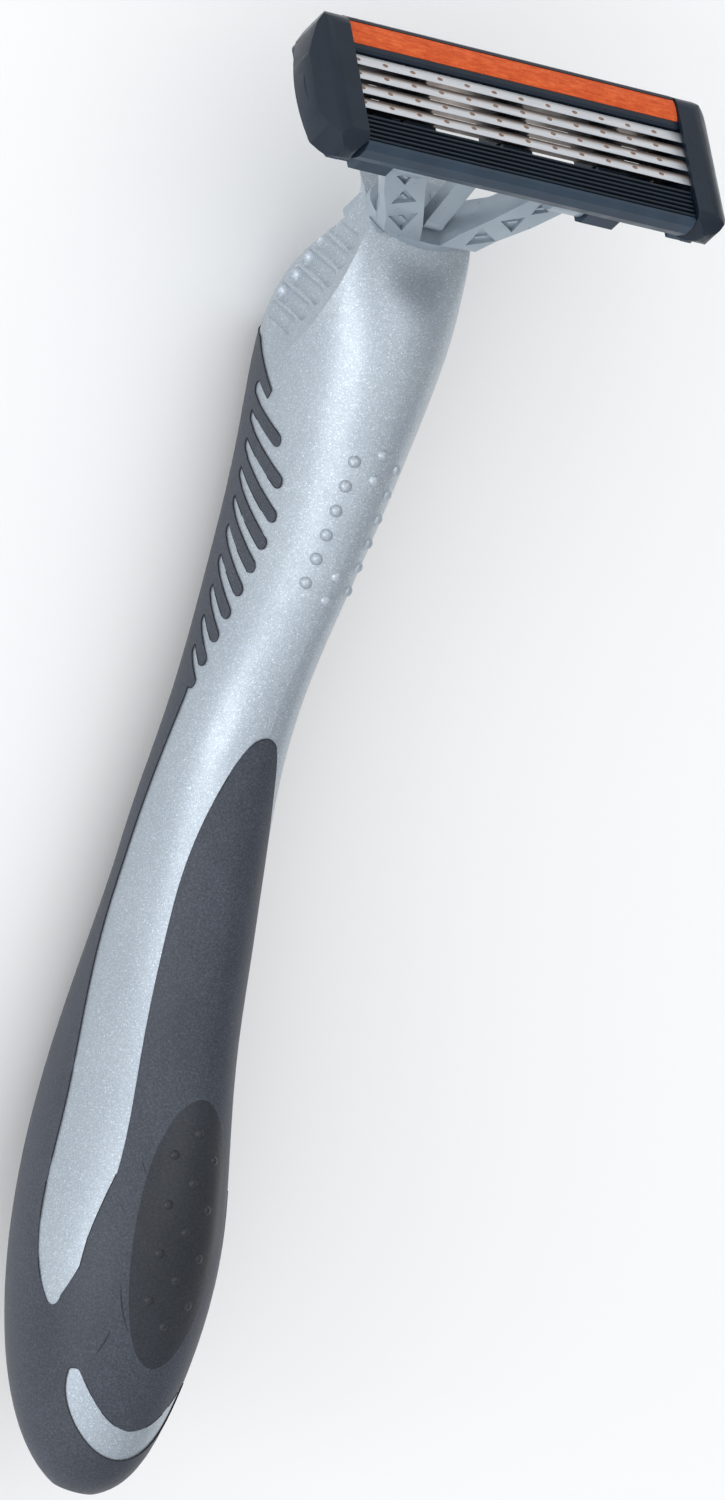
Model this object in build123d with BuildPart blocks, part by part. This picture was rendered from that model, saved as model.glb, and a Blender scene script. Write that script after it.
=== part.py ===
from build123d import *
import os
from math import atan2, cos, degrees, hypot, radians, sin, sqrt

os.makedirs("parts", exist_ok=True)

# Wet-shaving razor with a pivoting four-blade cartridge, in millimetres.
#
# Frame: the razor lies on its back with the blades up.  +Y runs along the handle to the head,
# +X along the blades and +Z up; the origin is under the middle of the bounding box.  Places on
# the handle are given as a station, counted from the last blade's edge towards the tail, and a
# height.  Places on the head are given as x, u up the shaving face and n out of it.

HEAD_Y = 57.7            # y of the last blade's cutting edge
HEAD_Z = 28.0            # height of that edge
HEAD_TILT = 45.0         # the shaving face leans this far from the handle's length

# Handle
SKIN = 1.1               # thickness of the rubber
PROUD = 0.1              # the rubber stands this far above the silver shell
FORK_N = -15.9           # the fork stands on the handle this far behind the shaving face
WIDE = 12.0              # how far cutting shapes reach beyond the handle
TRIM = 0.5               # what is cut off a half to leave a flat middle face
PAD_STATION = 97.8       # middle of the thumb pad
PAD_HALF_WIDTH = 4.15
PAD_HALF_LENGTH = 11.55
BUMP_R = 0.6             # radius of the silver grip dots
BUMP_SINK = 0.3          # a dot's centre lies this far under the surface
PAD_BUMP_R = 0.5

# Fork and tongue
SLOT_HALF = 1.05         # half the slot between the arms, at its foot
COLLAR = 0.9             # height of the fork's foot
PIVOT_U = 0.9            # the pivot, up the face from the last blade's edge
PIVOT_N = -6.2           # and behind the face
BOSS_R = 1.5
PIN_R = 0.8
RUNNING = 0.05           # radial clearance of a turning pin
TONGUE_U = 1.55          # where the tongue flexes
TONGUE_N = -14.2
TONGUE_TIP_U = 2.9
TONGUE_TIP_N = -5.1

# Cartridge
WINDOW = 16.75           # half the visible length of the blades
HEAD_HALF = 20.75        # half the length of the cartridge
FLOOR_N = -4.4           # back of the cartridge
COVER_BACK = -3.4        # back edge of the cover's ends
BLOCK_INNER = 15.4       # the housing's end blocks start here
COVER_TOP = 0.42         # front of the end covers
LEDGE_N = -1.3           # the hollow in an end cover is wide up to here
END_GAP = 0.06           # gap between the end blocks and the cover
LUG_INNER = 10.0
LUG_OUTER = 13.2
RIBS = (-9.8, 0.0, 9.8)  # cross ribs between the rinse windows
RIB_WIDTH = 3.0
RIB_TOP = -1.45
FIN_COUNT = 6
FIN_PITCH = 0.45

# Blades
BLADE_COUNT = 4
BLADE_PITCH = 1.45
BLADE_SLOPE = 14.0       # a blade leans this far from the shaving face
BLADE_WIDTH = 1.28
BLADE_THICK = 0.12
BLADE_HALF = 17.2
CARRIER_THICK = 0.2
LEG_U = 1.09             # middle of a carrier's leg, up the face from its blade's edge
LEG_HALF = 0.11
LEG_TOP = -0.45
LEG_FOOT = -2.6
FLANGE_FOOT = -1.68
FLANGE_HALF = 15.2
FINGER_REACH = 14.3      # the spring fingers start here and end in the cartridge's ends
FINGER_ROOT = 17.5

# Handle sections: front point and back point as (station, height), then the width.
SECTIONS = [
    ((11.5, 17.0), (5.2, 10.7), 12.6),
    ((16.8, 19.3), (13.3, 5.6), 13.4),
    ((23.0, 20.3), (22.0, -0.1), 13.4),
    ((31.0, 19.8), (31.0, 0.1), 11.4),
    ((40.0, 18.4), (40.0, 0.6), 9.8),
    ((50.0, 15.9), (50.0, 1.3), 9.4),
    ((60.0, 15.1), (60.0, 1.5), 10.3),
    ((70.0, 16.9), (70.0, 1.0), 11.4),
    ((80.0, 19.4), (80.0, 0.1), 12.4),
    ((90.0, 22.4), (90.0, 0.1), 14.4),
    ((100.0, 24.8), (100.0, 2.4), 16.6),
    ((108.0, 25.1), (108.0, 5.2), 16.0),
    ((115.0, 24.4), (115.0, 8.9), 13.4),
    ((119.6, 23.2), (119.6, 12.8), 9.6),
    ((122.4, 20.6), (122.4, 16.6), 4.0),
]

tilt = radians(HEAD_TILT)
# On the face, x runs along the blades, y up the face to the cap and z out of it.
face = Plane(origin=(0, HEAD_Y, HEAD_Z), x_dir=(1, 0, 0), z_dir=(0, sin(tilt), cos(tilt)))
# Across the head, x runs up the face, y out of it and z along the blades.
across = Plane(origin=(0, HEAD_Y, HEAD_Z), x_dir=(0, cos(tilt), -sin(tilt)), z_dir=(1, 0, 0))


def side(station, height):
    """A point of the handle's side view."""
    return (HEAD_Y - station, height)


def above(x, station):
    """A point of the handle seen from the front."""
    return (x, HEAD_Y - station)


def capsule(start, end):
    """Middle, length and angle of a slot shape from start to end."""
    along, across_it = end[0] - start[0], end[1] - start[1]
    middle = ((start[0] + end[0]) / 2, (start[1] + end[1]) / 2)
    return middle, hypot(along, across_it), degrees(atan2(across_it, along))


def end_hollow(gap):
    """Outline on the face of the hollow in the right-hand end cover, smaller by gap."""
    return [(WINDOW - 0.01, -3.2 + gap), (18.6, -3.2 + gap), (19.4 - gap, -2.2), (20.05 - gap, 1.0),
            (20.05 - gap, 4.5), (19.2 - gap, 7.6), (18.2 - gap / 2, 8.9 - gap), (WINDOW - 0.01, 8.9 - gap)]


def save(shape, name):
    """Label one piece and write its file."""
    shape.label = name
    export_step(shape, f"parts/{name}.step")


# ---------------------------------------------------------------- handle shapes
def section_plane(front, back):
    """Plane of one handle section: x across the handle, y from its back to its front."""
    rise = Vector(0, back[0] - front[0], front[1] - back[1])
    middle = (0, HEAD_Y - (front[0] + back[0]) / 2, (front[1] + back[1]) / 2)
    return Plane(origin=middle, x_dir=(1, 0, 0), z_dir=Vector(1, 0, 0).cross(rise).normalized())


def handle_shape(grow):
    """Right-hand half of the handle, larger by grow all round, and flat where it would lie."""
    with BuildPart() as shape:
        for front, back, width in SECTIONS:
            deep = hypot(back[0] - front[0], front[1] - back[1]) / 2 + grow
            with BuildSketch(section_plane(front, back)):
                with BuildLine():
                    arc = EllipticalCenterArc((0, 0), width / 2 + grow, deep, -90, arc_size=180)
                    Polyline(arc @ 1, (-TRIM, deep), (-TRIM, -deep), arc @ 0)
                make_face()
        loft()
        with Locations((-WIDE, 0, 0)):
            Box(2 * WIDE, 4 * HEAD_Y, 8 * WIDE, mode=Mode.SUBTRACT)
        with Locations((0, 0, -WIDE)):
            Box(4 * WIDE, 4 * HEAD_Y, 2 * WIDE, mode=Mode.SUBTRACT)
    return shape.part


shell_shape = handle_shape(0)
rubber_bed = handle_shape(-SKIN)
rubber_shape = handle_shape(PROUD)


def front_height(x, station):
    """Height of the silver shell's front surface."""
    ray = Axis((max(abs(x), 0.01), HEAD_Y - station, 0), (0, 0, 1))
    return max(hit[0].Z for skin_face in shell_shape.faces() for hit in skin_face.find_intersection_points(ray))


# The comb on each flank: where each finger starts, and its tip's station and height.
COMB_FINGERS = [
    (28.5, 30.8, 12.2),
    (30.9, 34.1, 13.3),
    (33.4, 37.1, 13.4),
    (35.9, 39.6, 12.9),
    (38.4, 41.9, 12.2),
    (41.0, 44.2, 11.3),
    (43.7, 46.5, 10.5),
    (46.4, 48.8, 9.8),
    (49.1, 51.1, 9.1),
    (51.8, 53.3, 8.5),
]
COMB_ROOT = 6.7          # height of the slots' round ends
COMB_BAND = 8.0          # top of the band that the slots are cut into
FINGER = 1.2             # width of a finger

with BuildPart() as side_rubber:
    # Spine strip and tail; like the other rubber outlines it is made for the right-hand half.
    with BuildSketch(Plane.YZ.offset(-TRIM)):
        with BuildLine():
            wedge = Polyline(side(21.5, -6), side(23.2, 5.2), side(26.9, 9.9), side(27.7, 9.5),
                             side(27.9, COMB_BAND), side(54.4, COMB_BAND))
            low = Spline(wedge @ 1, side(61, 7.3), side(69, 7.0), side(76, 7.3), side(83.2, 9.0),
                         side(91.4, 12.0), side(99.5, 14.3), side(104.6, 16.7), side(106.3, 18.2))
            tip = ThreePointArc(low @ 1, side(106.6, 18.9), side(106.1, 19.5))
            Polyline(tip @ 1, side(103.4, 20.6), side(100, 20.3), side(94.1, 20.15),
                     side(93.7, 34), side(132, 34), side(132, -6), side(21.5, -6))
        make_face()
        # Silver slots between the fingers, round at their foot.
        for number, (station, tip_station, tip_height) in enumerate(COMB_FINGERS):
            foot = side(station - 1.2, COMB_ROOT + FINGER / 2)
            lean = (tip_station - station) / (tip_height - COMB_ROOT)
            middle, length, angle = capsule(foot, side(station - 1.2 + 3 * lean, COMB_ROOT + 3))
            with Locations(middle):
                SlotCenterToCenter(length, FINGER, rotation=angle, mode=Mode.SUBTRACT)
        for station, tip_station, tip_height in COMB_FINGERS:
            middle, length, angle = capsule(side(station, COMB_ROOT), side(tip_station, tip_height))
            with Locations(middle):
                SlotCenterToCenter(length - FINGER / 2, FINGER, rotation=angle)
    extrude(amount=WIDE + TRIM)

with BuildPart() as front_rubber:
    # Palm side of the grip, seen from the front, with a silver crescent left free in it.
    with BuildSketch(Plane.XY.offset(13)):
        with BuildLine():
            edge = Spline(above(0, 55.6), above(0.9, 56.0), above(1.6, 57.1), above(2.4, 59.6),
                          above(3.75, 66.3), above(4.35, 73), above(4.75, 83), above(5.25, 91),
                          above(6.3, 99), above(7.3, 105.5))
            Polyline(edge @ 1, above(7.3, 109), above(-TRIM, 109), above(-TRIM, 55.6), edge @ 0)
        make_face()
    extrude(amount=20)

with BuildPart() as crescent:
    # The silver crescent near the tail.
    with BuildSketch(Plane.XY.offset(17)):
        with BuildLine():
            inner_edge = Spline(above(0, 115.3), above(1.9, 114.7), above(3.9, 112.9), above(5.1, 111.2))
            horn = ThreePointArc(inner_edge @ 1, above(5.5, 111.0), above(5.8, 111.5))
            outer_edge = Spline(horn @ 1, above(5.6, 113), above(4.4, 115.6), above(2.2, 117.6),
                                above(0, 118.2))
            Polyline(outer_edge @ 1, above(-TRIM, 118.2), above(-TRIM, 115.3), inner_edge @ 0)
        make_face()
    extrude(amount=20)

with BuildPart() as rubber_region:
    # Where the skin is rubber instead of the silver core.
    add(side_rubber.part)
    add(front_rubber.part)
    add(crescent.part, mode=Mode.SUBTRACT)
    with Locations((-WIDE, 0, 0)):
        Box(2 * WIDE, 4 * HEAD_Y, 8 * WIDE, mode=Mode.SUBTRACT)


# ---------------------------------------------------------------- handle pieces
with BuildPart() as rubber_skin:
    add(rubber_shape)
    add(rubber_bed, mode=Mode.SUBTRACT)

with BuildPart() as rubber_cover:
    add(rubber_skin.part)
    add(rubber_region.part, mode=Mode.INTERSECT)

with BuildPart() as pad_oval:
    with BuildSketch(Plane.XY.offset(14)):
        with Locations(above(0, PAD_STATION)):
            Ellipse(PAD_HALF_WIDTH, PAD_HALF_LENGTH)
    extrude(amount=14)
    with Locations((-WIDE, 0, 0)):
        Box(2 * WIDE, 4 * HEAD_Y, 8 * WIDE, mode=Mode.SUBTRACT)

with BuildPart() as rubber_grip:
    add(rubber_cover.part)
    add(pad_oval.part, mode=Mode.SUBTRACT)
    mirror(about=Plane.YZ)
save(rubber_grip.part, "rubber_grip")

with BuildPart() as thumb_pad:
    # Oval inset with small nubs in three columns.
    add(rubber_skin.part)
    add(pad_oval.part, mode=Mode.INTERSECT)
    mirror(about=Plane.YZ)
    nubs = [(0, 89.1 + 4.1 * i) for i in range(5)]
    nubs += [(x, 91.2 + 4.1 * i) for x in (-1.9, 1.9) for i in range(4)]
    for x, station in nubs:
        with Locations((x, HEAD_Y - station, front_height(x, station) + PROUD - 0.3)):
            Sphere(PAD_BUMP_R)
save(thumb_pad.part, "thumb_pad")

# A finger scoop is hollowed along each side of the neck, round a line outside the flank.
SCOOP_R = 16.0
SCOOP_TOP = Vector(20.6, HEAD_Y - 2.0, 18.7)
SCOOP_END = Vector(22.5, HEAD_Y - 26.0, 4.6)
# Scallops across the scoop: station and height of each one's front end.
SCALLOPS = [(12.4, 14.3), (14.2, 13.8), (16.0, 13.1), (17.8, 12.2), (19.5, 11.0), (21.1, 9.6)]
SCALLOP_R = 0.95
SCALLOP_LENGTH = 4.1
SCALLOP_DEPTH = 0.5


def scoop_floor(station, height):
    """A point on the floor of the right-hand finger scoop."""
    line = SCOOP_END - SCOOP_TOP
    flat = Vector(0, line.Y, line.Z).normalized()
    spot = Vector(0, HEAD_Y - station - SCOOP_TOP.Y, height - SCOOP_TOP.Z)
    along = spot.dot(flat)
    off = (spot - flat * along).length
    x = SCOOP_TOP.X + line.X * along / hypot(line.Y, line.Z) - sqrt(SCOOP_R ** 2 - off ** 2)
    return Vector(x, HEAD_Y - station, height)


with BuildPart() as scoop:
    with BuildSketch(Plane(origin=SCOOP_TOP, z_dir=SCOOP_END - SCOOP_TOP)):
        Circle(SCOOP_R)
    extrude(amount=(SCOOP_END - SCOOP_TOP).length)
    raised = Vector(SCALLOP_R - SCALLOP_DEPTH, 0, 0)
    for station, height in SCALLOPS:
        tip = scoop_floor(station, height) + raised
        heel = scoop_floor(station - 0.17 * SCALLOP_LENGTH, height - SCALLOP_LENGTH) + raised
        with BuildSketch(Plane(origin=tip, z_dir=heel - tip)):
            Circle(SCALLOP_R)
        extrude(amount=(heel - tip).length)
        with Locations(tip, heel):
            Sphere(SCALLOP_R)

with BuildPart() as handle_core:
    add(shell_shape)
    add(rubber_cover.part, mode=Mode.SUBTRACT)
    add(scoop.part, mode=Mode.SUBTRACT)
    mirror(about=Plane.YZ)
    # Grip dots in three columns; the middle one is free where a thumb rolls.
    dots = [(x, 30.1 + 2.25 * i) for x in (-2.0, 2.0) for i in range(6)]
    dots += [(0, 29.0), (0, 31.25), (0, 40.2), (0, 42.45)]
    for x, station in dots:
        with Locations((x, HEAD_Y - station, front_height(x, station) - BUMP_SINK)):
            Sphere(BUMP_R)
    # Socket for the fork's tenon.
    with BuildSketch(face.offset(FORK_N)):
        with Locations((0, 4.5)):
            RectangleRounded(7, 4.5, 0.6)
    extrude(amount=-5.6, mode=Mode.SUBTRACT)
save(handle_core.part, "handle_core")


# ---------------------------------------------------------------- fork and tongue
# Outline of one arm's sections, from its inner front edge round to its inner back.
ARM_SECTIONS = [
    (-15.0, [(1.05, -0.3), (4.7, -0.1), (5.3, 0.8), (4.9, 2.8), (3.4, 4.8), (1.05, 5.4)]),
    (-13.2, [(1.9, -0.1), (5.6, 0.0), (6.1, 0.6), (6.1, 1.9), (5.4, 2.8), (1.9, 3.2)]),
    (-10.5, [(3.5, 0.1), (7.6, 0.2), (7.9, 0.7), (7.9, 1.7), (7.5, 2.3), (3.5, 2.4)]),
    (-7.2, [(5.4, 0.5), (9.5, 0.5), (9.8, 0.9), (9.8, 2.0), (9.4, 2.4), (5.4, 2.4)]),
]
# Sunk triangles on an arm: distance from the root, size and turn.
TRIANGLES = [(1.9, 1.5, 0), (4.5, 1.25, 180), (6.8, 0.9, 0)]

with BuildPart() as neck_fork:
    with BuildSketch(face.offset(FORK_N)):
        with Locations((0, 2.95)):
            Ellipse(5.5, 3.3)
    extrude(amount=COLLAR)
    add(scoop.part, mode=Mode.SUBTRACT)
    with BuildSketch(face.offset(FORK_N)):
        with Locations((0, 4.5)):
            RectangleRounded(7, 4.5, 0.6)
    extrude(amount=-5.5)
    for depth, outline in ARM_SECTIONS:
        with BuildSketch(face.offset(depth)):
            with BuildLine():
                Polyline(*outline, close=True)
            make_face()
    loft(ruled=True)
    # Tip of the arm, boss and pin.
    with BuildSketch(face.offset(-7.2)):
        with BuildLine():
            Polyline(*ARM_SECTIONS[-1][1], close=True)
        make_face()
    extrude(amount=0.9)
    with BuildSketch(across.offset(6.6)):
        with Locations((PIVOT_U, PIVOT_N)):
            Circle(BOSS_R)
    extrude(amount=3.2)
    with BuildSketch(across.offset(9.8)):
        with Locations((PIVOT_U, PIVOT_N)):
            Circle(PIN_R)
    extrude(amount=2.7)
    # Three sunk triangles on the arm's front, each with a small raised bar.
    arm_lean = degrees(atan2(4.55, 7.8))
    for along, size, turn in TRIANGLES:
        x = 2.9 + along * 0.59
        u = -0.25 + along * 0.09
        front = Plane(origin=face.from_local_coords((x, u, -15.0 + along)), x_dir=(1, 0, 0),
                      z_dir=-face.y_dir)
        with BuildSketch(front.offset(1)):
            RegularPolygon(size, 3, rotation=90 + turn + arm_lean)
        extrude(amount=-1.35, mode=Mode.SUBTRACT)
        with BuildSketch(front.offset(-0.45)):
            Rectangle(size * 0.7, 0.25, rotation=arm_lean)
        extrude(amount=0.3)
    mirror(about=Plane.YZ)
save(neck_fork.part, "neck_fork")

with BuildPart() as return_tongue:
    # Springy finger that pushes the cartridge back, rounded where it flexes and at its tip.
    with BuildSketch(across):
        middle, length, angle = capsule((TONGUE_U, TONGUE_N), (TONGUE_TIP_U, TONGUE_TIP_N))
        with Locations(middle):
            SlotCenterToCenter(length - 0.6, 1.3, rotation=angle)
        with Locations((TONGUE_U, TONGUE_N)):
            Circle(0.75)
    extrude(amount=SLOT_HALF - 0.1, both=True)
save(return_tongue.part, "return_tongue")

# ---------------------------------------------------------------- cartridge
with BuildPart() as cartridge_housing:
    # Guard bar with its front lip.
    with BuildSketch(across):
        with BuildLine():
            Polyline((-0.55, -0.75), (-3.2, -0.75), (-3.2, -0.1), (-3.5, -0.1), (-3.8, -0.7), (-3.85, -1.7),
                     (-3.4, -2.7), (-2.3, -3.9), (-1.6, FLOOR_N), (-1.2, FLOOR_N), (-0.55, -2.4), close=True)
        make_face()
    extrude(amount=WINDOW - 0.1, both=True)
    # Beam under the cap, with a ledge that reaches over the rinse windows.
    with BuildSketch(across):
        with BuildLine():
            Polyline((5.75, -0.65), (9.2, -0.65), (9.2, -3.6), (8.6, FLOOR_N), (7.3, FLOOR_N), (7.3, -2.2),
                     (5.75, -1.3), close=True)
        make_face()
    extrude(amount=WINDOW - 0.1, both=True)
    # Cross ribs between the windows.
    with BuildSketch(face.offset(FLOOR_N)):
        with Locations(*[(x, 3.4) for x in RIBS]):
            Rectangle(RIB_WIDTH, 8.4)
    extrude(amount=RIB_TOP - FLOOR_N)
    # Webs that carry the lugs.
    with BuildSketch(face.offset(FLOOR_N)):
        with Locations((-12.3, 0.8), (12.3, 0.8)):
            Rectangle(8.0, 3.6)
    extrude(amount=0.9)
    # Slots that guide the blade carriers' legs.
    with BuildSketch(face.offset(RIB_TOP)):
        with Locations(*[(0, LEG_U + BLADE_PITCH * i) for i in range(BLADE_COUNT)]):
            Rectangle(24, 2 * LEG_HALF + 0.2)
    extrude(amount=-1.8, mode=Mode.SUBTRACT)
    # End blocks, which fill the end covers.
    with BuildSketch(face.offset(FLOOR_N)):
        with Locations(((BLOCK_INNER + 19.5) / 2, 3.4)):
            RectangleRounded(19.5 - BLOCK_INNER, 10.2, 0.8)
    extrude(amount=COVER_BACK - FLOOR_N - END_GAP)
    with BuildSketch(face.offset(COVER_BACK - 0.2)):
        with BuildLine():
            Polyline(*end_hollow(END_GAP), close=True)
        make_face()
        with Locations((WINDOW, 2.7)):
            Rectangle(2 * (FINGER_ROOT - WINDOW), 14, mode=Mode.SUBTRACT)
        with Locations((WINDOW, -2.0), (WINDOW, 7.5)):
            Rectangle(2 * (FINGER_ROOT - WINDOW), 2.2)
    extrude(amount=LEDGE_N - COVER_BACK - END_GAP + 0.2)
    with BuildSketch(face.offset(LEDGE_N - 0.3)):
        with Locations(((FINGER_ROOT + 18.4) / 2, 2.65)):
            Rectangle(18.4 - FINGER_ROOT, 10.6)
    extrude(amount=0.85)
    mirror(about=Plane.YZ)
    # Lugs with blind bores for the fork's pins.
    for sign in (-1, 1):
        with BuildSketch(across.offset(sign * LUG_INNER)):
            with BuildLine():
                Polyline((-0.9, FLOOR_N + 0.1), (-0.9, -7.0), (-0.3, -7.7), (2.1, -7.7), (2.7, -7.0),
                         (2.7, FLOOR_N + 0.1), close=True)
            make_face()
        extrude(amount=sign * (LUG_OUTER - LUG_INNER))
        with BuildSketch(across.offset(sign * LUG_INNER)):
            with Locations((PIVOT_U, PIVOT_N)):
                Circle(PIN_R + RUNNING)
        extrude(amount=sign * 2.6, mode=Mode.SUBTRACT)
save(cartridge_housing.part, "cartridge_housing")

with BuildPart() as guard_fins:
    # Soft fins in front of the blades, joined by a thin base.
    with BuildSketch(across):
        with Locations((-1.88, -0.59)):
            Rectangle(2.6, 0.28)
        with Locations(*[(-0.75 - FIN_PITCH * i, -0.25) for i in range(FIN_COUNT)]):
            RectangleRounded(0.2, 0.5, 0.07)
    extrude(amount=WINDOW - 0.15, both=True)
save(guard_fins.part, "guard_fins")

with BuildPart() as end_cover:
    # Right-hand end cover: a bowed block, rounded every way, and hollow from the back.
    with BuildSketch(face.offset(COVER_BACK)) as end_outline:
        with BuildLine():
            bow = ThreePointArc((19.75, 7.9), (HEAD_HALF, 2.6), (20.15, -2.3))
            Polyline(bow @ 1, (19.1, -4.0), (17.8, -4.2), (WINDOW, -3.4), (WINDOW, 9.5), (18.5, 9.5),
                     bow @ 0)
        make_face()
        fillet(end_outline.vertices().filter_by(lambda v: v.X > WINDOW + 0.1), 0.7)
    extrude(amount=COVER_TOP - COVER_BACK)
    with BuildSketch(across):
        with BuildLine():
            top_curve = ThreePointArc((7.9, COVER_TOP), (9.05, -0.05), (9.5, -1.1))
            low_curve = ThreePointArc((-3.0, -3.1), (-4.2, -1.3), (-2.7, COVER_TOP))
            Polyline(top_curve @ 1, (9.5, -2.9), (9.0, COVER_BACK), (-2.2, COVER_BACK), low_curve @ 0)
            Line(low_curve @ 1, top_curve @ 0)
        make_face()
    extrude(amount=2 * HEAD_HALF, mode=Mode.INTERSECT)
    with BuildSketch(Plane(origin=face.from_local_coords((0, -10, 0)), x_dir=(1, 0, 0), z_dir=face.y_dir)):
        with BuildLine():
            side_curve = ThreePointArc((18.4, -COVER_TOP), (20.0, 0.24), (20.68, 1.85))
            Polyline(side_curve @ 1, (HEAD_HALF + 0.2, 2.6), (HEAD_HALF + 0.2, 5), (10, 5), (10, -COVER_TOP),
                     side_curve @ 0)
        make_face()
    extrude(amount=30, mode=Mode.INTERSECT)
    with BuildSketch(face.offset(COVER_BACK - 0.1)):
        with BuildLine():
            Polyline(*end_hollow(0), close=True)
        make_face()
    extrude(amount=LEDGE_N - COVER_BACK + 0.1, mode=Mode.SUBTRACT)
    with BuildSketch(face.offset(LEDGE_N - 0.1)):
        with Locations(((WINDOW + 18.5) / 2, 2.65)):
            Rectangle(18.5 - WINDOW + 0.02, 10.9)
    extrude(amount=0.14 - LEDGE_N, mode=Mode.SUBTRACT)

with BuildPart() as cartridge_cover:
    # Cap over the top of the head with the strip's recess, and a cover round each end.
    with BuildSketch(across):
        with BuildLine():
            Polyline((5.75, -0.63), (5.75, -0.15), (6.0, 0.0), (6.45, 0.0), (6.45, -0.5), (8.7, -0.5), (8.7, 0.06),
                     (9.0, 0.0), (9.4, -0.4), (9.5, -1.0), (9.5, -2.6), (9.25, -2.6), (9.25, -0.63), close=True)
        make_face()
    extrude(amount=WINDOW, both=True)
    add(end_cover.part)
    mirror(about=Plane.YZ)
save(cartridge_cover.part, "cartridge_cover")

with BuildPart() as lubricating_strip:
    # Crowned strip.
    with BuildSketch(across):
        with BuildLine():
            sides = Polyline((6.5, 0.02), (6.5, -0.47), (8.65, -0.47), (8.65, 0.02))
            ThreePointArc(sides @ 1, (7.58, 0.16), sides @ 0)
        make_face()
    extrude(amount=WINDOW - 0.05, both=True)
save(lubricating_strip.part, "lubricating_strip")

# ---------------------------------------------------------------- blades
slope = radians(BLADE_SLOPE)


def on_blade(edge_u, along, under):
    """A point of a blade's section: along from its edge, and under its top face."""
    return (edge_u + along * cos(slope) - under * sin(slope), -along * sin(slope) - under * cos(slope))


for i in range(BLADE_COUNT):
    # Blade 1 is next to the cap, the last one next to the guard.
    edge_u = BLADE_PITCH * (BLADE_COUNT - 1 - i)
    with BuildPart() as blade:
        with BuildSketch(across):
            with BuildLine():
                Polyline(on_blade(edge_u, 0, 0), on_blade(edge_u, BLADE_WIDTH, 0),
                         on_blade(edge_u, BLADE_WIDTH, BLADE_THICK), on_blade(edge_u, 0.3, BLADE_THICK), close=True)
            make_face()
        extrude(amount=BLADE_HALF, both=True)
    save(blade.part, f"blade_{i + 1}")

    with BuildPart() as carrier:
        # Bent strip that the blade is welded to: a flange along it, with legs at the ribs and the ends.
        with BuildSketch(across):
            with BuildLine():
                low = BLADE_THICK + CARRIER_THICK
                Polyline(on_blade(edge_u, 0.45, BLADE_THICK), on_blade(edge_u, BLADE_WIDTH, BLADE_THICK),
                         on_blade(edge_u, BLADE_WIDTH, low), on_blade(edge_u, 0.5, low), close=True)
            make_face()
        extrude(amount=BLADE_HALF - 0.1, both=True)
        with BuildSketch(face.offset(LEG_FOOT)):
            with Locations(*[(x, edge_u + LEG_U) for x in RIBS]):
                Rectangle(2.2, 2 * LEG_HALF)
            with Locations((-14.75, edge_u + LEG_U), (14.75, edge_u + LEG_U)):
                Rectangle(0.9, 2 * LEG_HALF)
        extrude(amount=LEG_TOP - LEG_FOOT)
        with BuildSketch(face.offset(FLANGE_FOOT)):
            with Locations((0, edge_u + LEG_U)):
                Rectangle(2 * FLANGE_HALF, 2 * LEG_HALF)
        extrude(amount=LEG_TOP - FLANGE_FOOT)
    save(carrier.part, f"blade_carrier_{i + 1}")

    for sign, hand in ((-1, "left"), (1, "right")):
        with BuildPart() as finger:
            # Springy finger under the end of the carrier.
            with BuildSketch(across.offset(sign * FINGER_REACH)):
                with Locations((edge_u + LEG_U, LEG_FOOT - 0.17)):
                    Rectangle(0.6, 0.34)
            extrude(amount=sign * (FINGER_ROOT - FINGER_REACH))
        save(finger.part, f"blade_spring_{hand}_{i + 1}")
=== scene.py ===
import math

import bmesh
import bpy
from mathutils import Matrix, Vector, bvhtree


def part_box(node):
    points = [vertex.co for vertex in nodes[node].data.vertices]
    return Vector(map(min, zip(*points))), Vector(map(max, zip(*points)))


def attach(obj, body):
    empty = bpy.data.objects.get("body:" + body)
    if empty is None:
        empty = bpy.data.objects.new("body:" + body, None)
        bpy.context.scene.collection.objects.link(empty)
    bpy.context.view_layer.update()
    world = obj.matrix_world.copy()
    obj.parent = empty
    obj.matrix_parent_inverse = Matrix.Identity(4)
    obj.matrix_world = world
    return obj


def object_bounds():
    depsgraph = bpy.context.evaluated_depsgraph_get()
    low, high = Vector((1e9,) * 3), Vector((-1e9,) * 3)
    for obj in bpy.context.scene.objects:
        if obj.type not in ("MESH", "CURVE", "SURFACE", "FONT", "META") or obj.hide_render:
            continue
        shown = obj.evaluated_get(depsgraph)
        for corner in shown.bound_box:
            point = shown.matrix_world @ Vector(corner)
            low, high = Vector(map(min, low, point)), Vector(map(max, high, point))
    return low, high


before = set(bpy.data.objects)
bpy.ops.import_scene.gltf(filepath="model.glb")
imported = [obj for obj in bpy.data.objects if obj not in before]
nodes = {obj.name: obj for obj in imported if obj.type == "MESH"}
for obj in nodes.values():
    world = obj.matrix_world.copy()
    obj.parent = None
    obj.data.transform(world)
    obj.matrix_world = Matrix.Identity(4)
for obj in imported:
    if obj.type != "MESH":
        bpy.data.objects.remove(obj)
cad_low, cad_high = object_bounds()
MM = 0.001

# ------------------------------------------------------------------ the head's own directions
TILT = math.radians(45.0)
HEAD_UP = Vector((0, math.cos(TILT), -math.sin(TILT)))    # from the guard to the cap
HEAD_OUT = Vector((0, math.sin(TILT), math.cos(TILT)))    # out of the shaving face
BLADE_COUNT = 4
WINDOW = 16.75           # half the visible length of the blades, in millimetres
SLOPE = math.radians(14.0)    # a blade leans this far from the shaving face


def on_blade(i, x, along, over):
    """A point on blade i, from x, the distance along from its edge and the height over its top."""
    low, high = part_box(f"blade_{i}")
    edge = Vector((0, low.y, high.z))    # a blade's cutting edge is its highest and rearmost line
    u = along * math.cos(SLOPE) + over * math.sin(SLOPE)
    n = over * math.cos(SLOPE) - along * math.sin(SLOPE)
    return edge + Vector((x * MM, 0, 0)) + HEAD_UP * (u * MM) + HEAD_OUT * (n * MM)


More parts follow.
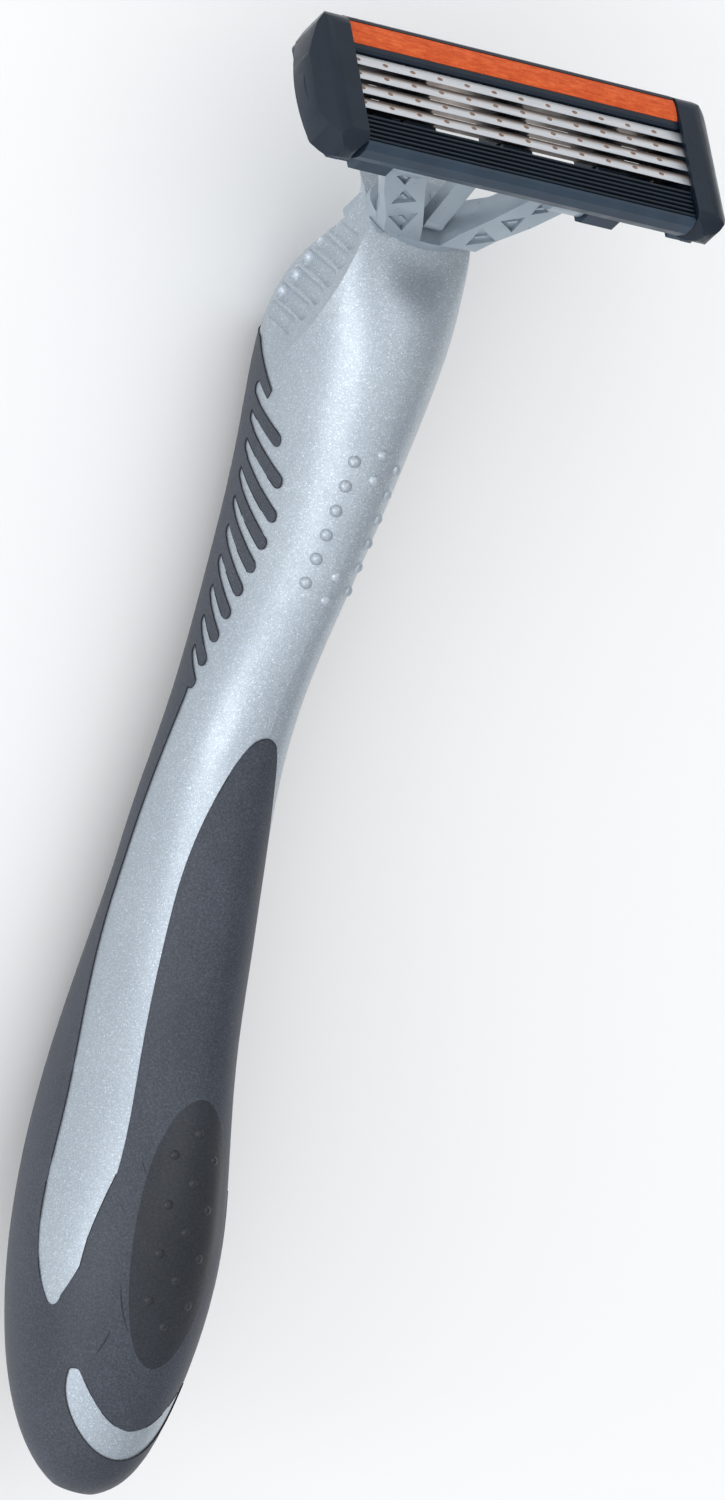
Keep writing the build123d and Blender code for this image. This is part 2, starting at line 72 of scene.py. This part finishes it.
# ------------------------------------------------------------------ node materials
MIX_A, MIX_B, MIX_RESULT = 6, 7, 2    # a mix node's colour sockets


class Shader:
    """A small helper that builds one Principled material with procedural inputs."""

    def __init__(self, name, color, roughness=0.5, metallic=0.0, specular=0.5):
        self.mat = bpy.data.materials.new(name)
        self.mat.use_nodes = True
        self.tree = self.mat.node_tree
        self.tree.nodes.clear()
        self.out = self.add("ShaderNodeOutputMaterial")
        self.bsdf = self.add("ShaderNodeBsdfPrincipled")
        self.link(self.bsdf.outputs[0], self.out.inputs[0])
        self.bsdf.inputs["Base Color"].default_value = (*color, 1)
        self.bsdf.inputs["Roughness"].default_value = roughness
        self.bsdf.inputs["Metallic"].default_value = metallic
        self.bsdf.inputs["Specular IOR Level"].default_value = specular
        self.coords = self.add("ShaderNodeTexCoord").outputs["Object"]

    def add(self, kind, **settings):
        node = self.tree.nodes.new(kind)
        for key, value in settings.items():
            setattr(node, key, value)
        return node

    def link(self, a, b):
        self.tree.links.new(a, b)

    def set(self, socket, value):
        self.bsdf.inputs[socket].default_value = value

    def feed(self, output, socket):
        self.link(output, self.bsdf.inputs[socket])

    def noise(self, size, detail=2.0, rough=0.5, coords=None):
        node = self.add("ShaderNodeTexNoise")
        node.inputs["Scale"].default_value = 1.0 / size
        node.inputs["Detail"].default_value = detail
        node.inputs["Roughness"].default_value = rough
        self.link(coords or self.coords, node.inputs["Vector"])
        return node.outputs["Fac"]

    def cells(self, size):
        """Three random values for each cell of a fine mosaic."""
        node = self.add("ShaderNodeTexVoronoi")
        node.inputs["Scale"].default_value = 1.0 / size
        self.link(self.coords, node.inputs["Vector"])
        split = self.add("ShaderNodeSeparateColor")
        self.link(node.outputs["Color"], split.inputs[0])
        return split.outputs

    def stretched(self, scale):
        """The object's coordinates, scaled: below 1 draws a texture out along that axis."""
        node = self.add("ShaderNodeMapping")
        node.inputs["Scale"].default_value = scale
        self.link(self.coords, node.inputs["Vector"])
        return node.outputs[0]

    def ramp(self, fac, stops):
        node = self.add("ShaderNodeValToRGB")
        elements = node.color_ramp.elements
        while len(elements) < len(stops):
            elements.new(0.5)
        for element, (place, color) in zip(elements, stops):
            element.position = place
            element.color = (*color, 1)
        self.link(fac, node.inputs["Fac"])
        return node.outputs["Color"]

    def grey_ramp(self, fac, stops):
        return self.ramp(fac, [(place, (v, v, v)) for place, v in stops])

    def weighted(self, a, share_a, b, share_b):
        """The sum of two values, each times its share."""
        scaled = []
        for value, share in ((a, share_a), (b, share_b)):
            node = self.add("ShaderNodeMath", operation="MULTIPLY")
            self.link(value, node.inputs[0])
            node.inputs[1].default_value = share
            scaled.append(node.outputs[0])
        total = self.add("ShaderNodeMath", operation="ADD")
        self.link(scaled[0], total.inputs[0])
        self.link(scaled[1], total.inputs[1])
        return total.outputs[0]

    def multiply(self, a, b):
        """Two colours, multiplied."""
        node = self.add("ShaderNodeMix", data_type="RGBA", blend_type="MULTIPLY")
        node.inputs["Factor"].default_value = 1.0
        self.link(a, node.inputs[MIX_A])
        self.link(b, node.inputs[MIX_B])
        return node.outputs[MIX_RESULT]

    def bump(self, height, distance, strength):
        node = self.add("ShaderNodeBump")
        node.inputs["Distance"].default_value = distance
        node.inputs["Strength"].default_value = strength
        self.link(height, node.inputs["Height"])
        return node.outputs[0]


def silver_lacquer():
    """Metal-flake silver lacquer: an even base with fine sparkling flakes."""
    s = Shader("silver_lacquer", (0.58, 0.64, 0.71), roughness=0.38, metallic=0.62)
    flake = s.cells(0.085 * MM)
    fine = s.cells(0.05 * MM)
    spark = s.grey_ramp(flake[0], [(0.0, 0.82), (0.62, 0.98), (0.86, 1.06), (0.95, 1.25), (1.0, 1.55)])
    cloud = s.noise(11 * MM, 2.0)
    tint = s.ramp(cloud, [(0.3, (0.365, 0.415, 0.470)), (0.7, (0.405, 0.455, 0.505))])
    s.feed(s.multiply(tint, spark), "Base Color")
    s.feed(s.bump(s.weighted(flake[1], 0.6, fine[0], 0.4), 0.007 * MM, 0.7), "Normal")
    wear = s.noise(2.2 * MM, 5.0, 0.65)
    s.feed(s.grey_ramp(wear, [(0.3, 0.34), (0.7, 0.43)]), "Roughness")
    s.set("Coat Weight", 0.3)
    s.set("Coat Roughness", 0.22)
    return s.mat


def neck_plastic():
    """Smooth grey-blue moulded plastic of the fork."""
    s = Shader("neck_plastic", (0.36, 0.42, 0.48), roughness=0.32, metallic=0.35)
    cloud = s.noise(4 * MM, 4.0)
    s.feed(s.ramp(cloud, [(0.3, (0.29, 0.345, 0.40)), (0.7, (0.35, 0.41, 0.465))]), "Base Color")
    s.feed(s.grey_ramp(s.noise(1.5 * MM, 4.0), [(0.3, 0.27), (0.7, 0.37)]), "Roughness")
    s.feed(s.bump(s.noise(0.15 * MM, 2.0), 0.006 * MM, 0.5), "Normal")
    return s.mat


def rubber(name, dark, light, grain, roughness, depth):
    """Dull moulded rubber with a fine grain and handling marks."""
    s = Shader(name, dark, roughness=roughness, specular=0.4)
    cloud = s.noise(9 * MM, 4.0, 0.6)
    speck = s.noise(grain, 3.0, 0.7)
    base = s.ramp(cloud, [(0.35, dark), (0.68, light)])
    shade = s.grey_ramp(speck, [(0.3, 0.55), (0.52, 1.0), (0.70, 1.75)])
    s.feed(s.multiply(base, shade), "Base Color")
    s.feed(s.grey_ramp(cloud, [(0.3, roughness - 0.05), (0.7, roughness + 0.06)]), "Roughness")
    s.feed(s.bump(speck, depth, 0.6), "Normal")
    return s.mat


def navy_plastic(name, color, roughness):
    """Dark textured plastic of the cartridge."""
    s = Shader(name, color, roughness=roughness, specular=0.3)
    cloud = s.noise(3 * MM, 3.0)
    lighter = tuple(c * 1.35 for c in color)
    s.feed(s.ramp(cloud, [(0.3, color), (0.72, lighter)]), "Base Color")
    patches = s.noise(1.2 * MM, 3.0)
    s.feed(s.grey_ramp(patches, [(0.3, roughness - 0.05), (0.7, roughness + 0.08)]), "Roughness")
    s.feed(s.bump(s.noise(0.10 * MM, 2.0), 0.006 * MM, 0.6), "Normal")
    return s.mat


def strip_polymer():
    """Grainy orange strip with pressed-in particles and long rolling marks."""
    s = Shader("strip_polymer", (0.66, 0.14, 0.035), roughness=0.7, specular=0.3)
    along = s.stretched((0.25, 1.0, 1.0))
    coarse = s.noise(0.35 * MM, 5.0, 0.75, coords=along)
    grain = s.noise(0.10 * MM, 4.0, 0.8)
    base = s.ramp(coarse, [(0.30, (0.46, 0.050, 0.008)), (0.52, (0.63, 0.095, 0.018)),
                           (0.75, (0.80, 0.175, 0.05))])
    shade = s.grey_ramp(grain, [(0.3, 0.72), (0.7, 1.22)])
    s.feed(s.multiply(base, shade), "Base Color")
    s.feed(s.bump(s.weighted(coarse, 0.6, grain, 0.4), 0.05 * MM, 0.8), "Normal")
    return s.mat


def blade_steel(name, back_shaded):
    """Ground and coated steel, with painted brown shade along the back where back_shaded: the shadow
    of the blade in front, seen in reflection.
    """
    s = Shader(name, (0.86, 0.87, 0.88), roughness=0.34, metallic=0.55)
    across = s.add("ShaderNodeSeparateXYZ")
    s.link(s.add("ShaderNodeTexCoord").outputs["Generated"], across.inputs[0])
    grind = s.noise(0.05 * MM, 2.0, coords=s.stretched((0.02, 1.0, 1.0)))
    base = s.ramp(grind, [(0.3, (0.52, 0.54, 0.57)), (0.7, (0.66, 0.67, 0.69))])
    patches = s.noise(1.4 * MM, 3.0, coords=s.stretched((0.3, 1.0, 1.0)))
    place = s.weighted(across.outputs["Y"], 1.0, patches, 0.16)    # 0 at the edge, 1 at the back
    # Painted shade: on blades 2-4 the back darkens to brown, standing in for the shadow of the blade
    # in front seen in reflection; blade 1 only turns a little darker towards the back.
    if back_shaded:
        back_shade = s.ramp(place, [(0.60, (1, 1, 1)), (0.80, (0.74, 0.66, 0.60)),
                              (0.97, (0.30, 0.22, 0.18))])
    else:
        back_shade = s.ramp(place, [(0.80, (1, 1, 1)), (1.0, (0.80, 0.79, 0.78))])
    rim = s.ramp(place, [(0.05, (0.62, 0.70, 0.82)), (0.20, (1, 1, 1))])
    s.feed(s.multiply(s.multiply(base, back_shade), rim), "Base Color")
    s.feed(s.bump(grind, 0.002 * MM, 0.4), "Normal")
    return s.mat


def weld_spot():
    """A fused spot: a dark ring round a brown centre."""
    s = Shader("weld_spot", (0.22, 0.13, 0.085), roughness=0.5, metallic=0.3)
    cloud = s.noise(0.12 * MM, 3.0)
    s.feed(s.ramp(cloud, [(0.3, (0.13, 0.075, 0.05)), (0.7, (0.36, 0.22, 0.15))]), "Base Color")
    s.feed(s.bump(cloud, 0.01 * MM, 0.7), "Normal")
    return s.mat


def painted_recess_shade(name):
    """Painted shade: a near-black colour for the dark inside of a scratch or a narrow gap."""
    s = Shader(name, (0.008, 0.009, 0.012), roughness=0.7)
    cloud = s.noise(0.2 * MM, 3.0)
    s.feed(s.ramp(cloud, [(0.3, (0.006, 0.007, 0.009)), (0.7, (0.016, 0.018, 0.023))]), "Base Color")
    return s.mat


def carrier_steel():
    """Stamped steel with a brown heat tint."""
    s = Shader("carrier_steel", (0.40, 0.33, 0.28), roughness=0.38, metallic=1.0)
    cloud = s.noise(1.5 * MM, 4.0)
    s.feed(s.ramp(cloud, [(0.3, (0.30, 0.25, 0.22)), (0.7, (0.52, 0.46, 0.42))]), "Base Color")
    s.feed(s.bump(s.noise(0.08 * MM, 2.0), 0.003 * MM, 0.5), "Normal")
    return s.mat


GRIP = rubber("grip_rubber", (0.031, 0.037, 0.052), (0.045, 0.053, 0.072), 0.18 * MM, 0.50, 0.018 * MM)
PAD = rubber("pad_rubber", (0.012, 0.015, 0.021), (0.018, 0.022, 0.030), 0.20 * MM, 0.34, 0.006 * MM)
FINISH = {
    "handle_core": silver_lacquer(),
    "rubber_grip": GRIP,
    "thumb_pad": PAD,
    "neck_fork": neck_plastic(),
    "cartridge_housing": navy_plastic("housing_plastic", (0.020, 0.036, 0.058), 0.38),
    "cartridge_cover": navy_plastic("cover_plastic", (0.005, 0.011, 0.021), 0.30),
    "guard_fins": navy_plastic("fin_rubber", (0.007, 0.013, 0.022), 0.42),
    "lubricating_strip": strip_polymer(),
}
FINISH["return_tongue"] = FINISH["neck_fork"]
bright_steel = blade_steel("blade_steel", False)
# Blades 2-4 get the steel with painted brown shade along the back.
shaded_steel = blade_steel("blade_steel_back_shade", True)
stamped_steel = carrier_steel()
for i in range(1, BLADE_COUNT + 1):
    FINISH[f"blade_{i}"] = bright_steel if i == 1 else shaded_steel
    FINISH[f"blade_carrier_{i}"] = stamped_steel
    for hand in ("left", "right"):
        FINISH[f"blade_spring_{hand}_{i}"] = FINISH["cartridge_housing"]

for name, material in FINISH.items():
    node = nodes[name]
    node.data.materials.clear()
    node.data.materials.append(material)

# Moulded and stamped edges are a little round: width of the rounding in millimetres.
SOFT_EDGES = {"cartridge_cover": 0.30, "cartridge_housing": 0.14, "neck_fork": 0.14,
              "return_tongue": 0.10}
SHARP = math.radians(24)    # edges that turn more than this are rounded
for name, width in SOFT_EDGES.items():
    weld = nodes[name].modifiers.new("weld", "WELD")
    weld.merge_threshold = 0.001 * MM
    soften = nodes[name].modifiers.new("soft_edges", "BEVEL")
    soften.width = width * MM
    soften.segments = 3
    soften.limit_method = "ANGLE"
    soften.angle_limit = SHARP


# ------------------------------------------------------------------ added pieces
def piece(name, mesh, material, body):
    """Make one object from a bmesh, give it its material and let it ride on its body."""
    data = bpy.data.meshes.new(name)
    bmesh.ops.recalc_face_normals(mesh, faces=mesh.faces)
    mesh.to_mesh(data)
    mesh.free()
    data.materials.append(material)
    obj = bpy.data.objects.new(name, data)
    bpy.context.scene.collection.objects.link(obj)
    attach(obj, body)


# Spots where each blade is welded to its carrier: low rings round a shallow crater.
SPOT_PITCH = 2.75
SPOT_SIDES = 16
SPOT_CENTRE, SPOT_FOOT = 0.012, -0.02    # height of the crater's middle, and depth of the underside
SPOT_RINGS = [(0.10, 0.008), (0.17, 0.035), (0.22, 0.030), (0.25, SPOT_FOOT)]    # radius, height
SPOT_LONG, SPOT_WIDE = 1.15, 0.8         # a spot is longer along the blade than across it
FIRST_SPOT = (0.45, 0.55)                # from the window's end, on even and on odd blades
LAST_SPOT = 0.4
SPOT_LINE = 0.70                         # from the cutting edge to the spots' middles
SPOT_LINE_FIRST = 0.62                   # the same on blade 1


def weld_one_spot(mesh, i, x, line):
    """A spot on blade i, as a closed form: a cratered top and a flat underside."""
    centre = mesh.verts.new(on_blade(i, x, line, SPOT_CENTRE))
    rings = []
    for radius, height in SPOT_RINGS:
        angles = [math.tau * k / SPOT_SIDES for k in range(SPOT_SIDES)]
        rings.append([mesh.verts.new(on_blade(i, x + SPOT_LONG * radius * math.cos(angle),
                                              line + SPOT_WIDE * radius * math.sin(angle), height))
                      for angle in angles])
    bottom = mesh.verts.new(on_blade(i, x, line, SPOT_FOOT))
    for k in range(SPOT_SIDES):
        j = (k + 1) % SPOT_SIDES
        mesh.faces.new((centre, rings[0][k], rings[0][j]))
        for inner, outer in zip(rings, rings[1:]):
            mesh.faces.new((inner[k], outer[k], outer[j], inner[j]))
        mesh.faces.new((bottom, rings[-1][j], rings[-1][k]))


weld_mat = weld_spot()
for i in range(1, BLADE_COUNT + 1):
    spots = bmesh.new()
    x = -WINDOW + FIRST_SPOT[i % 2]
    while x < WINDOW - LAST_SPOT:
        weld_one_spot(spots, i, x, SPOT_LINE_FIRST if i == 1 else SPOT_LINE)
        x += SPOT_PITCH
    piece(f"weld_spots_{i}", spots, weld_mat, f"blade_{i}_unit")

# Scratches on the rubber, real marks drawn as near-black ridges whose colour is painted shade for the
# inside of each scratch: both ends in millimetres, half the width, and how far the middle bows.
SCRATCHES = [
    ((-4.33, -45.0, 23.6), (-2.9, -48.9, 24.6), 0.060, -0.25),
    ((-4.20, -49.1, 23.8), (-4.6, -51.5, 23.3), 0.065, 0.15),
    ((-4.55, -34.6, 21.6), (-4.05, -35.6, 22.0), 0.040, 0.05),
    ((-5.30, -38.7, 21.5), (-4.90, -39.1, 22.0), 0.025, 0.05),
]
SCRATCH_STEPS, SCRATCH_SIDES = 14, 6
SCRATCH_TIP = 0.12       # share of the width left at both ends
SCRATCH_HEIGHT = 0.35    # share of the width that it stands up


def surface_of(node):
    """The surface of a CAD node, to find the nearest point on it."""
    return bvhtree.BVHTree.FromObject(nodes[node], bpy.context.evaluated_depsgraph_get())


def gouge(mesh, surface, start, end, width, bow):
    """A thin pointed ridge from start to end along the surface; its near-black colour is painted shade
    for the inside of a scratch.
    """
    start, end = Vector(start) * MM, Vector(end) * MM
    rings = []
    for k in range(SCRATCH_STEPS + 1):
        t = k / SCRATCH_STEPS
        guess = start.lerp(end, t) + Vector((bow * MM * math.sin(math.pi * t), 0, 0))
        spot, normal, _, _ = surface.find_nearest(guess)
        forward = (end - start).normalized()
        sideways = normal.cross(forward).normalized()
        radius = width * MM * (SCRATCH_TIP + math.sin(math.pi * t) ** 0.6)
        angles = [math.tau * m / SCRATCH_SIDES for m in range(SCRATCH_SIDES)]
        rings.append([mesh.verts.new(spot + sideways * radius * math.cos(angle)
                                     + normal * (SCRATCH_HEIGHT * radius * math.sin(angle)))
                      for angle in angles])
    for first, second in zip(rings, rings[1:]):
        for m in range(SCRATCH_SIDES):
            n = (m + 1) % SCRATCH_SIDES
            mesh.faces.new((first[m], first[n], second[n], second[m]))
    mesh.faces.new(rings[0])
    mesh.faces.new(reversed(rings[-1]))


scratches = bmesh.new()
grip_surface = surface_of("rubber_grip")
for start, end, width, bow in SCRATCHES:
    gouge(scratches, grip_surface, start, end, width, bow)
piece("scratches", scratches, painted_recess_shade("painted_recess_shade"), "handle")

# Painted shade where the rubber meets the silver: a thin near-black tube along the rubber's outer rim
# stands in for the shadow in the tiny step there.
PARTING_R = 0.045
RIM_FOLD = math.radians(50)    # the rim folds by more than this
RIM_NEAR, RIM_OVER = 0.16, 0.04    # the rim's highest and lowest stand over the silver
SHORTEST_RIM = 1.5             # shorter runs are left out
SAME_POINT = 0.002             # mesh points closer than this are one


def parting_chains(node, shell):
    """Chains of points along the sharp outer rim of node, where it stands on shell."""
    mesh = bmesh.new()
    mesh.from_mesh(nodes[node].data)
    bmesh.ops.remove_doubles(mesh, verts=mesh.verts, dist=SAME_POINT * MM)
    base = surface_of(shell)
    rim = {}    # keeps the mesh's order, so the chains are the same each run
    for edge in mesh.edges:
        if len(edge.link_faces) == 2 and edge.calc_face_angle(0) > RIM_FOLD:
            middle = (edge.verts[0].co + edge.verts[1].co) / 2
            spot, normal, _, _ = base.find_nearest(middle)
            over = middle - spot
            if over.length < RIM_NEAR * MM and over.dot(normal) > RIM_OVER * MM:
                rim[edge] = True
    chains = []
    lowest = cad_low.z + PARTING_R * MM    # the line stays above the floor
    while rim:
        edge = next(iter(rim))
        del rim[edge]
        chain = [edge.verts[0], edge.verts[1]]
        for _ in range(2):
            while True:
                tail = chain[-1]
                follow = [e for e in tail.link_edges if e in rim]
                if not follow:
                    break
                del rim[follow[0]]
                chain.append(follow[0].other_vert(tail))
            chain.reverse()
        points = [Vector((v.co.x, v.co.y, max(v.co.z, lowest))) for v in chain]
        if sum((a - b).length for a, b in zip(points, points[1:])) > SHORTEST_RIM * MM:
            chains.append(points)
    mesh.free()
    return chains


def parting_shade_line(name, chains, material):
    """One tube mesh that follows each chain of points."""
    curve = bpy.data.curves.new(name, "CURVE")
    curve.dimensions = "3D"
    curve.bevel_depth = PARTING_R * MM
    curve.bevel_resolution = 1
    curve.use_fill_caps = True
    for points in chains:
        closed = points[0] == points[-1]
        if closed:
            points = points[:-1]
        spline = curve.splines.new("POLY")
        spline.points.add(len(points) - 1)
        for target, point in zip(spline.points, points):
            target.co = (*point, 1)
        spline.use_cyclic_u = closed
    holder = bpy.data.objects.new(name + "_route", curve)
    bpy.context.scene.collection.objects.link(holder)
    shown = holder.evaluated_get(bpy.context.evaluated_depsgraph_get())
    mesh = bmesh.new()
    mesh.from_mesh(bpy.data.meshes.new_from_object(shown))
    bpy.data.objects.remove(holder)
    piece(name, mesh, material, "handle")


# The near-black tube is painted shade along the rubber's rim.
rubber_rim = parting_chains("rubber_grip", "handle_core")
parting_shade_line("parting_shade_line", rubber_rim, painted_recess_shade("parting_gap_shade"))

# ------------------------------------------------------------------ floor, light and camera
FLOOR_HALF = 3.0         # metres
FLOOR_GAP = 0.2 * MM     # the floor lies just under the razor
floor_mesh = bmesh.new()
bmesh.ops.create_grid(floor_mesh, x_segments=2, y_segments=2, size=FLOOR_HALF)
floor_data = bpy.data.meshes.new("floor")
floor_mesh.to_mesh(floor_data)
floor_mesh.free()
floor = bpy.data.objects.new("floor", floor_data)
bpy.context.scene.collection.objects.link(floor)
floor.location = (0, 0, cad_low.z - FLOOR_GAP)
pale = Shader("pale_floor", (0.90, 0.90, 0.90), roughness=0.8, specular=0.2)
floor_data.materials.append(pale.mat)

world = bpy.data.worlds.new("studio")
bpy.context.scene.world = world
world.use_nodes = True
background = world.node_tree.nodes["Background"]
background.inputs[0].default_value = (0.97, 0.985, 1.0, 1)
# The surroundings are brighter on the left, so the razor's right side falls into soft shade.
BRIGHT_LEFT, DIM_RIGHT = 1.52, 0.50
direction = world.node_tree.nodes.new("ShaderNodeTexCoord")
parts = world.node_tree.nodes.new("ShaderNodeSeparateXYZ")
falloff = world.node_tree.nodes.new("ShaderNodeMapRange")
falloff.inputs["From Min"].default_value = -1.0
falloff.inputs["To Min"].default_value = BRIGHT_LEFT
falloff.inputs["To Max"].default_value = DIM_RIGHT
world.node_tree.links.new(direction.outputs["Generated"], parts.inputs[0])
world.node_tree.links.new(parts.outputs[0], falloff.inputs["Value"])
world.node_tree.links.new(falloff.outputs[0], background.inputs[1])

AIM = (cad_low + cad_high) / 2


def soft_light(name, place, size, power):
    """A rectangular soft box at place, turned to the razor; metres and watts."""
    data = bpy.data.lights.new(name, "AREA")
    data.shape = "RECTANGLE"
    data.size, data.size_y = size
    data.energy = power
    lamp = bpy.data.objects.new(name, data)
    bpy.context.scene.collection.objects.link(lamp)
    lamp.location = AIM + Vector(place)
    lamp.rotation_mode = "QUATERNION"
    lamp.rotation_quaternion = (-Vector(place)).to_track_quat("-Z", "Y")


soft_light("key_light", (-0.80, -0.10, 0.08), (0.18, 0.9), 2.1)
soft_light("top_light", (-0.10, 0.45, 0.75), (0.7, 0.5), 0.7)

CAMERA_LENS = 202.8
CAMERA_PLACE = Vector((-384.3, 109.6, 616.2)) * MM
CAMERA_RIGHT = Vector((0.825, 0.2786, 0.4907)).normalized()
CAMERA_LOOK = Vector((0.542, -0.1471, -0.8273)).normalized()
camera_data = bpy.data.cameras.new("photo_camera")
camera = bpy.data.objects.new("photo_camera", camera_data)
bpy.context.scene.collection.objects.link(camera)
camera_data.sensor_fit = "AUTO"
camera_data.sensor_width = 36.0
camera_data.lens = CAMERA_LENS
right = (CAMERA_RIGHT - CAMERA_LOOK * CAMERA_RIGHT.dot(CAMERA_LOOK)).normalized()
up = right.cross(CAMERA_LOOK)
turn = Matrix((right, up, -CAMERA_LOOK)).transposed()
camera.matrix_world = Matrix.Translation(CAMERA_PLACE) @ turn.to_4x4()
camera_data.clip_start, camera_data.clip_end = 0.05, 20.0
bpy.context.scene.camera = camera
bpy.context.scene.view_settings.view_transform = "Standard"
